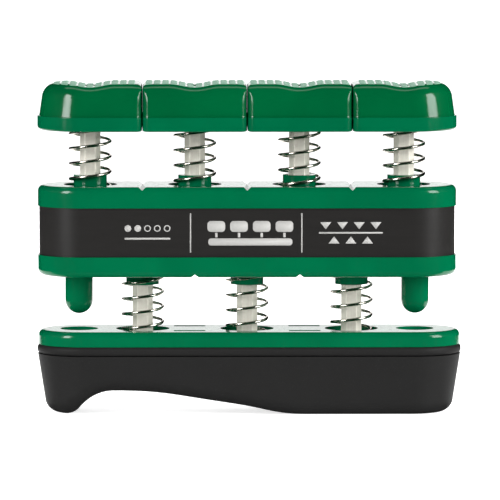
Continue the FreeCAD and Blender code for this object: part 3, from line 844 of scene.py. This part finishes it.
def rib_tree():
    """Grip ribs in a row across a button, which follow its scoop and its rounded edges."""
    sizes = (
        "pitch", "width", "height", "reach", "middle", "crest", "scoop half", "scoop depth",
        "flat depth", "crown", "flat side", "edge", "shift", "end centre", "end way", "end reach",
    )
    tree = Builder("grip_ribs", sizes, ("count",))
    bar = tree.add("GeometryNodeMeshCube", None, {
        "Size": tree.vector(tree["width"], tree["reach"] * 2, tree["height"] * 2),
        "Vertices X": 11, "Vertices Y": 61, "Vertices Z": 2,
    })
    across, along, up = tree.position()
    soft = 1 - ((across / tree["width"]) * 2).absolute() ** 7.0
    soft_end = 1 - (along / tree["reach"]).absolute() ** 80.0
    lifted = up * soft.at_least(0.0) * soft_end.at_least(0.0)
    height = tree.add("GeometryNodeSwitch", {"input_type": "FLOAT"}, {
        "Switch": up.math("GREATER_THAN", 0.0), "False": up * 1.6, "True": lifted,
    })
    bar = tree.moved(bar, tree.vector(across, along, height))
    start = (tree["count"] - 1) * tree["pitch"] * -0.5 + tree["shift"]
    line = tree.add("GeometryNodeMeshLine", None, {
        "Count": tree["count"],
        "Start Location": tree.vector(start, 0.0, 0.0),
        "Offset": tree.vector(tree["pitch"], 0.0, 0.0),
    })
    row = tree.add("GeometryNodeInstanceOnPoints", None, {"Points": line, "Instance": bar})
    row = tree.add("GeometryNodeRealizeInstances", None, {0: row})
    x, y, z = tree.position()
    to_end = tree["end centre"] - tree["middle"]
    beyond = ((x - to_end) * tree["end way"]).at_least(0.0).at_most(tree["end reach"])
    is_beyond = beyond.math("GREATER_THAN", 0.0)
    x = x * (1 - is_beyond) + (to_end + beyond * tree["end way"]) * is_beyond
    widest = (tree["end reach"] ** 2.0 - beyond ** 2.0).at_least(0.0).math("SQRT")
    y = y * widest.at_most(tree["reach"]) / tree["reach"]
    share = (x / tree["scoop half"]).absolute().at_most(1.0)
    dip = ((share * math.pi).math("COSINE") + 1) * tree["scoop depth"] * 0.5
    outward = (beyond ** 2.0 + y ** 2.0).math("SQRT")
    fall = rounding_fall(outward - tree["flat depth"], tree["crown"])
    side_fall = rounding_fall(x.absolute() - tree["flat side"], tree["edge"])
    beside = x * tree["end way"]
    side_fall = side_fall * beside.math("LESS_THAN", tree["scoop half"])
    level = z + tree["crest"] - dip - fall - side_fall
    row = tree.moved(row, tree.vector(x + tree["middle"], y, level))
    row = tree.add("GeometryNodeMergeByDistance", None, {"Geometry": row, "Distance": 0.002 * MM})
    return tree.end(row, "matte_green")


def rounding_fall(past, radius):
    """How far a rounded edge has dropped at a distance past its start."""
    held = past.at_least(0.0).at_most(radius)
    return radius - (radius * radius - held * held).at_least(0.0).math("SQRT")


class EXERCISER_OT_ribs(bpy.types.Operator):
    """Lays the matte grip ribs over the finger buttons"""
    bl_idname = "exerciser.ribs"
    bl_label = "Grip ribs"

    def execute(self, context):
        sizes = context.scene.exerciser_sizes
        tree = rib_tree()
        for place in range(1, FINGERS + 1):
            shape = ButtonShape(place, sizes)
            from_end = HALF_DEPTH + shape.end_shift
            end_centre = {-1: shape.left + from_end, 1: shape.right - from_end}.get(shape.outward, 0.0)
            mesh = tree.mesh(
                f"finger_ribs_{place}", count=sizes.ribs + (0 if shape.outward else MORE_INNER_RIBS),
                pitch=sizes.rib_pitch, width=sizes.rib_width, height=sizes.rib_height,
                reach=sizes.rib_reach, middle=shape.x, crest=shape.crest,
                scoop_half=sizes.scoop_half, scoop_depth=sizes.scoop_depth,
                flat_depth=HALF_DEPTH - shape.front_centre, crown=sizes.crown_edge,
                flat_side=PITCH / 2 - sizes.side_step - sizes.side_edge, edge=sizes.side_edge,
                shift=shape.outward * sizes.rib_pitch * -0.5, end_centre=end_centre,
                end_way=float(shape.outward), end_reach=from_end - sizes.rib_end,
            )
            new_piece(mesh.name, mesh, f"finger_{place}")
        return {"FINISHED"}


COIL_STEPS = 260
CLOSED_TURNS = 1.0

# The height at which each spring's wire passes its leftmost point, in millimetres.
FINGER_CROSSINGS = (55.5, 55.1, 57.3, 58.2)
BAR_CROSSINGS = (26.9, 24.5, 25.2)


def coil_tree():
    """A right-handed compression spring with closed, ground ends."""
    sizes = ("wire", "radius", "length", "pitch", "phase", "middle", "seat")
    tree = Builder("spring_coil", sizes)
    wire, pitch = tree["wire"], tree["pitch"]
    closed = CLOSED_TURNS
    open_turns = (tree["length"] - wire * (2 * closed + 1)) / pitch
    turns = open_turns + 2 * closed
    line = tree.add("GeometryNodeMeshLine", None, {"Count": COIL_STEPS + 1})
    path = tree.add("GeometryNodeMeshToCurve", None, {"Mesh": line})
    index = tree.add("GeometryNodeInputIndex")
    turned = index / COIL_STEPS * turns
    opened = (turned - closed) * pitch + wire * closed
    finished = (turned - closed - open_turns) * wire + open_turns * pitch + wire * closed
    blend = 0.25 * MM
    rise = opened.math("SMOOTH_MAX", turned * wire, blend).math("SMOOTH_MIN", finished, blend)
    turn = turned * math.tau + tree["phase"]
    radius = tree["radius"] - wire / 2
    place = tree.vector(radius * turn.math("COSINE"), radius * turn.math("SINE"), rise + wire / 2)
    path = tree.moved(path, place)
    values = {"Resolution": 14, "Radius": wire / 2}
    section = tree.add("GeometryNodeCurvePrimitiveCircle", None, values)
    values = {"Curve": path, "Profile Curve": section, "Fill Caps": True}
    body = tree.add("GeometryNodeCurveToMesh", None, values)
    x, y, z = tree.position()
    ground = z.at_least(0.0).at_most(tree["length"])
    body = tree.moved(body, tree.vector(x + tree["middle"], y, ground + tree["seat"]))
    return tree.end(body, "plated_wire")


class EXERCISER_OT_springs(bpy.types.Operator):
    """Winds the seven springs, each riding on the bar or the handle"""
    bl_idname = "exerciser.springs"
    bl_label = "Springs"

    def execute(self, context):
        sizes = context.scene.exerciser_sizes
        tree = coil_tree()
        for place, crossing in enumerate(FINGER_CROSSINGS, 1):
            self.wind(tree, sizes, "finger", place, crossing * MM, "bar", f"finger_{place}_press")
        for place, crossing in enumerate(BAR_CROSSINGS, 1):
            self.wind(tree, sizes, "bar", place, crossing * MM, "handle", "bar_squeeze")
        return {"FINISHED"}

    @staticmethod
    def wind(tree, sizes, row, place, crossing, body, joint):
        """One spring whose wire passes its leftmost point at the height of crossing."""
        node = f"{row}_spring_{place}"
        seat = low(node).z
        open_rise = crossing - seat - sizes.wire / 2 - sizes.wire * CLOSED_TURNS
        turned = CLOSED_TURNS + open_rise / sizes.coil_pitch
        name = f"{row}_coil_{place}"
        mesh = tree.mesh(
            name, wire=sizes.wire, radius=COIL_RADIUS, length=COIL_LENGTH, pitch=sizes.coil_pitch,
            phase=math.pi - math.tau * turned, middle=centre_x(node), seat=seat,
        )
        piece = new_piece(name, mesh, body)
        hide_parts(node)
        centre_x(node)
        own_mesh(piece)


# ---- Rods and clips ------------------------------------------------------------------

class EXERCISER_OT_rods(bpy.types.Operator):
    """Gives the rods and their clips their steel finishes"""
    bl_idname = "exerciser.rods"
    bl_label = "Rods and clips"

    def execute(self, context):
        for row, count in (("bar", BAR_RODS), ("finger", FINGERS)):
            for place in range(1, count + 1):
                self.paint(f"{row}_rod_{place}", "drawn_steel")
                self.paint(f"{row}_rod_clip_{place}", "stamped_steel")
        return {"FINISHED"}

    @staticmethod
    def paint(node, material):
        for held in frame["nodes"][node].material_slots:
            held.material = finish(material)


# ---- Bar and band --------------------------------------------------------------------

class EXERCISER_OT_bar(bpy.types.Operator):
    """Finishes the two halves of the bar and the film band round them"""
    bl_idname = "exerciser.bar"
    bl_label = "Bar"

    def execute(self, context):
        # The bar's halves take the lighter, bluer body green: painted reflected light.
        refined_node("bar_upper_shell", "bar_upper", "bar", "lit_body_green")
        refined_node("bar_lower_shell", "bar_lower", "bar", "lit_body_green")
        refined_node("label_band", "film_band", "bar", "printed_film")
        return {"FINISHED"}


MARK_CORNER_STEPS = 8
MARK_RING_STEPS = 36


class BandInk:
    """Thin raised shapes on the front of the band, in millimetres across and from its middle height."""

    def __init__(self, thickness):
        self.built = bmesh.new()
        self.front = BAND_FRONT - thickness
        self.back = BAND_FRONT + TOUCHING

    def shape(self, corners):
        """A flat shape from its (x, z) corners, counter-clockwise."""
        corners = [(x * MM, BAND_MIDDLE + z * MM) for x, z in corners]
        slab(self.built, corners, self.front, self.back)

    def bar(self, x, z, width, height, radius=None):
        """A bar with rounded corners about (x, z), or with full-round ends if no radius is given."""
        radius = min(width, height) / 2 if radius is None else radius
        corners = []
        for quarter, (side, up) in enumerate(((1, -1), (1, 1), (-1, 1), (-1, -1))):
            middle_x = x + side * (width / 2 - radius)
            middle_z = z + up * (height / 2 - radius)
            for turn in arc_turns(MARK_CORNER_STEPS):
                turn += (quarter - 1) * math.pi / 2
                corners.append((middle_x + radius * math.cos(turn), middle_z + radius * math.sin(turn)))
        self.shape(corners)

    def ring(self, x, z, outer, inner):
        """A flat ring about (x, z)."""
        x, z = x * MM, BAND_MIDDLE + z * MM
        new_vert, new_face = self.built.verts.new, self.built.faces.new
        near, far = [], []
        for radius in (outer * MM, inner * MM):
            for rows, depth in ((near, self.front), (far, self.back)):
                row = []
                for step in range(MARK_RING_STEPS):
                    turn = math.tau * step / MARK_RING_STEPS
                    row.append(new_vert((x + radius * math.cos(turn), depth, z + radius * math.sin(turn))))
                rows.append(row)
        for step in range(MARK_RING_STEPS):
            after = (step + 1) % MARK_RING_STEPS
            new_face((near[0][step], near[0][after], near[1][after], near[1][step]))
            new_face((far[0][after], far[0][step], far[1][step], far[1][after]))
            new_face((near[0][after], near[0][step], far[0][step], far[0][after]))
            new_face((near[1][step], near[1][after], far[1][after], far[1][step]))


class EXERCISER_OT_marks(bpy.types.Operator):
    """Prints plain marks on the band: strength dots, a picture of the buttons, and squeeze arrows"""
    bl_idname = "exerciser.marks"
    bl_label = "Printed marks"

    def execute(self, context):
        ink = BandInk(context.scene.exerciser_sizes.mark_thickness)
        for x in (-11.9, 11.4):
            ink.bar(x, 0, 0.25, 8.3)
        self.strength(ink)
        self.buttons(ink)
        self.arrows(ink)
        new_piece("band_marks", shaded_mesh("band_marks", ink.built), "bar", "pale_ink")
        return {"FINISHED"}

    @staticmethod
    def strength(ink):
        """Five dots of which two are filled, over a thin rule."""
        for place in range(5):
            x = -25.0 + place * 2.05
            if place < 2:
                ink.bar(x, 0.95, 1.4, 1.4)
            else:
                ink.ring(x, 0.95, 0.7, 0.48)
        ink.bar(-20.9, -1.2, 9.6, 0.4)

    @staticmethod
    def buttons(ink):
        """Four pads over a long bar, like the object seen from the front."""
        for place in range(FINGERS):
            x = -6.5 + place * 4.75
            ink.bar(x, 1.35, 3.7, 2.3, 0.75)
            ink.bar(x, -0.45, 0.5, 1.0, 0.1)
        ink.bar(0.62, -1.9, 17.6, 1.5, 0.6)

    @staticmethod
    def arrows(ink):
        """Triangles that point at each other across a rule."""
        start, pitch, half, near, far = 16.4, 3.5, 1.15, 0.75, 2.25
        for place in range(4):
            x = start + place * pitch
            ink.shape([(x, near), (x + half, far), (x - half, far)])
        for place in range(3):
            x = start + (place + 0.5) * pitch
            ink.shape([(x, -near), (x - half, -far), (x + half, -far)])
        ink.bar(21.65, 0, 13.4, 0.35)


# ---- Handle --------------------------------------------------------------------------

class EXERCISER_OT_handle(bpy.types.Operator):
    """Finishes the handle's green lid and the soft palm grip under it"""
    bl_idname = "exerciser.handle"
    bl_label = "Handle"

    def execute(self, context):
        # The lid takes the lighter, bluer body green: painted reflected light.
        refined_node("handle_plate", "handle_lid", "handle", "lit_body_green")
        refined_node("palm_grip", "soft_palm_grip", "handle", "soft_grip")
        return {"FINISHED"}


# ---- Stage ---------------------------------------------------------------------------

def lit_paper(stage):
    """Translucent studio paper, lit from behind, with a trace of tooth."""
    paper = Finish("paper")
    tooth = paper.noise(1.5 * MM, 2.0)
    base = paper.varied(tooth, stage.floor, 0.99, 1.01)
    return paper.surface(
        Base_Color=base, Roughness=0.9, Specular_IOR_Level=0.1,
        Emission_Color=base, Emission_Strength=stage.glow,
    )


def sweep_floor(stage):
    """A pale floor that curves up into a low backdrop behind the object."""
    front, start, bend, tall = -150 * MM, 500 * MM, 300 * MM, 360 * MM
    behind = [(0.0, 0.0), (start, 0.0)]
    for turn in arc_turns(14)[1:]:
        behind.append((start + bend * math.sin(turn), bend * (1 - math.cos(turn))))
    behind.append((start + bend, tall))
    paper = lit_paper(stage)
    paper_sheet("studio_floor", [(front, 0.0), (0.0, 0.0)], paper, False)
    paper_sheet("studio_sweep", behind, paper, True)


def paper_sheet(name, profile, paper, glossy):
    """A sheet of paper along a (y, z) profile, which shows in reflections if glossy."""
    half = 130 * MM
    built = bmesh.new()
    rows = []
    for x in (-half, half):
        rows.append([built.verts.new((x, y, z)) for y, z in profile])
    for index in range(len(profile) - 1):
        built.faces.new((rows[0][index], rows[1][index], rows[1][index + 1], rows[0][index + 1]))
    mesh = shaded_mesh(name, built, math.pi)
    mesh.materials.append(paper)
    sheet = bpy.data.objects.new(name, mesh)
    sheet.visible_glossy = glossy
    bpy.context.scene.collection.objects.link(sheet)


def away_from(azimuth, elevation):
    """Unit vector towards an azimuth from the front (left is negative) and an elevation."""
    across = math.cos(elevation)
    return Vector((math.sin(azimuth) * across, -math.cos(azimuth) * across, math.sin(elevation)))


def softbox(name, radiance, place, target, width, height, glossy=True):
    """A rectangular light at a place, facing a target, which shows in reflections if glossy."""
    data = bpy.data.lights.new(name, "AREA")
    data.shape = "RECTANGLE"
    data.size = width
    data.size_y = height
    data.energy = radiance * math.pi * width * height
    light = bpy.data.objects.new(name, data)
    light.location = place
    light.rotation_euler = (place - target).to_track_quat("Z", "Y").to_euler()
    light.visible_glossy = glossy
    light.visible_camera = False
    bpy.context.scene.collection.objects.link(light)


class EXERCISER_OT_stage(bpy.types.Operator):
    """Sets up the pale sweep, the softboxes and the camera"""
    bl_idname = "exerciser.stage"
    bl_label = "Studio"

    def execute(self, context):
        stage = context.scene.exerciser_stage
        sweep_floor(stage)
        reach, tall = stage.light_distance, stage.box_height
        middle = Vector((0, 0, (CAD_BOX[0].z + CAD_BOX[1].z) / 2))
        raised = middle + Vector((0, 0, stage.box_raise + tall / 2))
        around, fill = stage.fill_azimuth, stage.fill_width
        for name, radiance, azimuth, width, glossy in (
            ("left_softbox", stage.left_light, stage.left_azimuth, stage.left_width, True),
            ("right_softbox", stage.right_light, stage.right_azimuth, stage.right_width, True),
            ("left_fill", stage.left_fill, -around, fill, False),
            ("right_fill", stage.right_fill, around, fill, False),
            ("back_fill", stage.back_fill, math.pi, fill, False),
        ):
            softbox(name, radiance, raised + away_from(azimuth, 0) * reach, raised, width, tall, glossy)
        top = middle + away_from(0, stage.top_elevation) * reach
        softbox("top_softbox", stage.top_light, top, middle, reach, stage.top_width)
        self.surroundings(context.scene, stage.surroundings)
        self.camera(context.scene, stage)
        return {"FINISHED"}

    @staticmethod
    def surroundings(scene, radiance):
        world = bpy.data.worlds.new("studio_room")
        world.use_nodes = True
        background = world.node_tree.nodes["Background"]
        background.inputs["Color"].default_value = (1, 1, 1, 1)
        background.inputs["Strength"].default_value = radiance
        world.cycles_visibility.diffuse = False
        world.cycles_visibility.glossy = False
        scene.world = world
        scene.view_settings.view_transform = "Standard"

    @staticmethod
    def camera(scene, stage):
        data = bpy.data.cameras.new("camera")
        data.lens = data.sensor_width * stage.distance / stage.view_width
        data.clip_start = stage.distance / 20
        data.clip_end = stage.distance * 10
        camera = bpy.data.objects.new("camera", data)
        away = away_from(-stage.turn, stage.elevation)
        camera.location = Vector((stage.aim_x, 0, stage.aim_z)) + away * stage.distance
        camera.rotation_euler = away.to_track_quat("Z", "Y").to_euler()
        scene.collection.objects.link(camera)
        scene.camera = camera


# ---- Add-on --------------------------------------------------------------------------

OPERATORS = (
    EXERCISER_OT_handle, EXERCISER_OT_bar, EXERCISER_OT_marks, EXERCISER_OT_rods,
    EXERCISER_OT_springs, EXERCISER_OT_buttons, EXERCISER_OT_ribs, EXERCISER_OT_stage,
)


class EXERCISER_PT_panel(bpy.types.Panel):
    """Lists the steps that dress the exerciser"""
    bl_label = "Finger exerciser"
    bl_idname = "EXERCISER_PT_panel"
    bl_space_type = "VIEW_3D"
    bl_region_type = "UI"
    bl_category = "Exerciser"

    def draw(self, context):
        column = self.layout.column()
        for operator in OPERATORS:
            column.operator(operator.bl_idname)
        for group in GROUPS:
            settings = getattr(context.scene, group)
            for name in settings.__annotations__:
                column.prop(settings, name)


GROUPS = {
    "exerciser_sizes": ExerciserSizes,
    "exerciser_colours": ExerciserColours,
    "exerciser_stage": ExerciserStage,
}


def register():
    for name, group in GROUPS.items():
        bpy.utils.register_class(group)
        setattr(bpy.types.Scene, name, bpy.props.PointerProperty(type=group))
    for made in (*OPERATORS, EXERCISER_PT_panel):
        bpy.utils.register_class(made)


def unregister():
    for made in (EXERCISER_PT_panel, *reversed(OPERATORS)):
        bpy.utils.unregister_class(made)
    for name, group in reversed(GROUPS.items()):
        delattr(bpy.types.Scene, name)
        bpy.utils.unregister_class(group)


def main():
    register()
    for operator in OPERATORS:
        action = operator.bl_idname.split(".")[1]
        getattr(bpy.ops.exerciser, action)()


if __name__ == "__main__":
    main()
